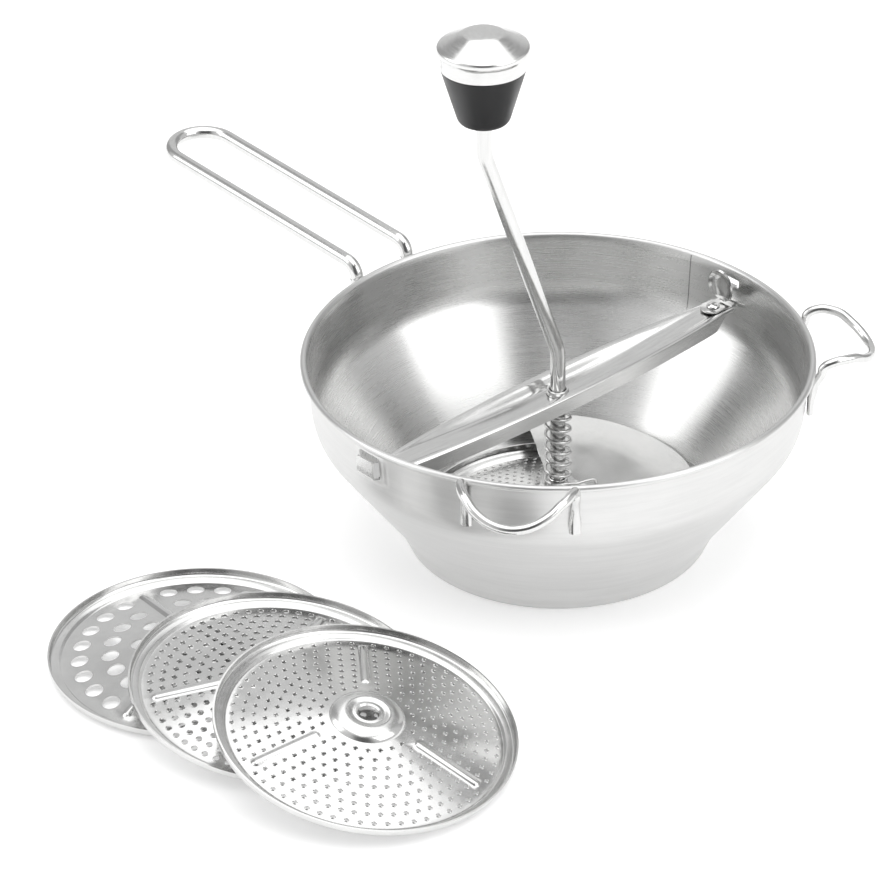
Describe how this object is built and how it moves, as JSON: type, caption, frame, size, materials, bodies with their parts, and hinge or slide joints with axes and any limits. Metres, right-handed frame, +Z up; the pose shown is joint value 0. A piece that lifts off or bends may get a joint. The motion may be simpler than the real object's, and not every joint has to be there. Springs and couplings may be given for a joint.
{
  "type": "rotary food mill",
  "caption": "Rotary food mill: conical sheet bowl with wire handle and rest hooks, latched bridge bar, sprung crank with knob and pressing blade, fitted sieve disc and spare sieve discs.",
  "frame": {"origin": "bottom centre of the whole set's bounding box, on the surface it all stands on", "axes": "+Z up along the mill's axis, -X along the long handle, Y along the bridge bar with its latch at the +Y end and the spare discs on the -Y side"},
  "size_m": [0.423, 0.3874, 0.2602],
  "materials": {
    "brushed_steel": "brushed stainless sheet, satin outside",
    "satin_sheet_steel": "satin stainless sheet",
    "polished_wire": "polished stainless wire",
    "pressed_disc_steel": "bright pressed stainless sheet",
    "spring_steel": "bright spring steel",
    "black_moulded_grip": "satin black moulding",
    "grey_sleeve_plastic": "plain"
  },
  "bodies": {
    "mill_bowl": {"bowl": "brushed_steel", "long_handle": "polished_wire", "front_hook": "polished_wire", "side_hook": "polished_wire", "fitted_disc": "pressed_disc_steel"},
    "bridge_bar": {"bridge": "satin_sheet_steel", "latch_leaf": "spring_steel", "latch_rivet": "polished_wire", "bridge_bush": "polished_wire"},
    "latch_tab": {"thumb_tab": "spring_steel"},
    "spindle": {"spring_seat_washer": "polished_wire", "spring": "spring_steel"},
    "crank": {"crank_rod": "polished_wire", "blade_hub": "satin_sheet_steel", "hub_pin": "polished_wire", "spring_cup": "polished_wire", "blade": "satin_sheet_steel", "knob_retaining_ring": "polished_wire"},
    "knob": {"knob_grip": "black_moulded_grip", "knob_cap": "satin_sheet_steel", "knob_sleeve": "grey_sleeve_plastic"},
    "coarse_disc_body": {"coarse_disc": "pressed_disc_steel"},
    "medium_disc_body": {"medium_disc": "pressed_disc_steel"},
    "fine_disc_body": {"fine_disc": "pressed_disc_steel"}
  },
  "joints": [
    {"name": "bridge_tilt", "type": "hinge", "parent": "mill_bowl", "child": "bridge_bar", "pos_m": [0.06393, -0.0457, 0.078], "axis": [1, 0, 0], "range_deg": [0, 20]},
    {"name": "latch_press", "type": "hinge", "parent": "bridge_bar", "child": "latch_tab", "pos_m": [0.06393, 0.18031, 0.0797], "axis": [1, 0, 0], "range_deg": [0, 12], "stiffness_Nm_per_rad": 0.7},
    {"name": "crank_spin", "type": "hinge", "parent": "bridge_bar", "child": "spindle", "pos_m": [0.06393, 0.07031, 0], "axis": [0, 0, 1], "continuous": true},
    {"name": "crank_lift", "type": "slide", "parent": "spindle", "child": "crank", "axis": [0, 0, 1], "range_m": [0, 0.006], "stiffness_N_per_m": 1500, "springref_m": -0.004, "deforming": ["spring"]},
    {"name": "knob_spin", "type": "hinge", "parent": "crank", "child": "knob", "pos_m": [0.04093, 0.04624, 0.23], "axis": [0, 0, 1], "continuous": true},
    {"name": "coarse_lift", "type": "slide", "parent": "mill_bowl", "child": "coarse_disc_body", "axis": [0, 0, 1], "range_m": [0, 0.15]},
    {"name": "medium_lift", "type": "slide", "parent": "coarse_disc_body", "child": "medium_disc_body", "axis": [0, 0, 1], "range_m": [0, 0.15]},
    {"name": "fine_lift", "type": "slide", "parent": "medium_disc_body", "child": "fine_disc_body", "axis": [0, 0, 1], "range_m": [0, 0.15]}
  ]
}
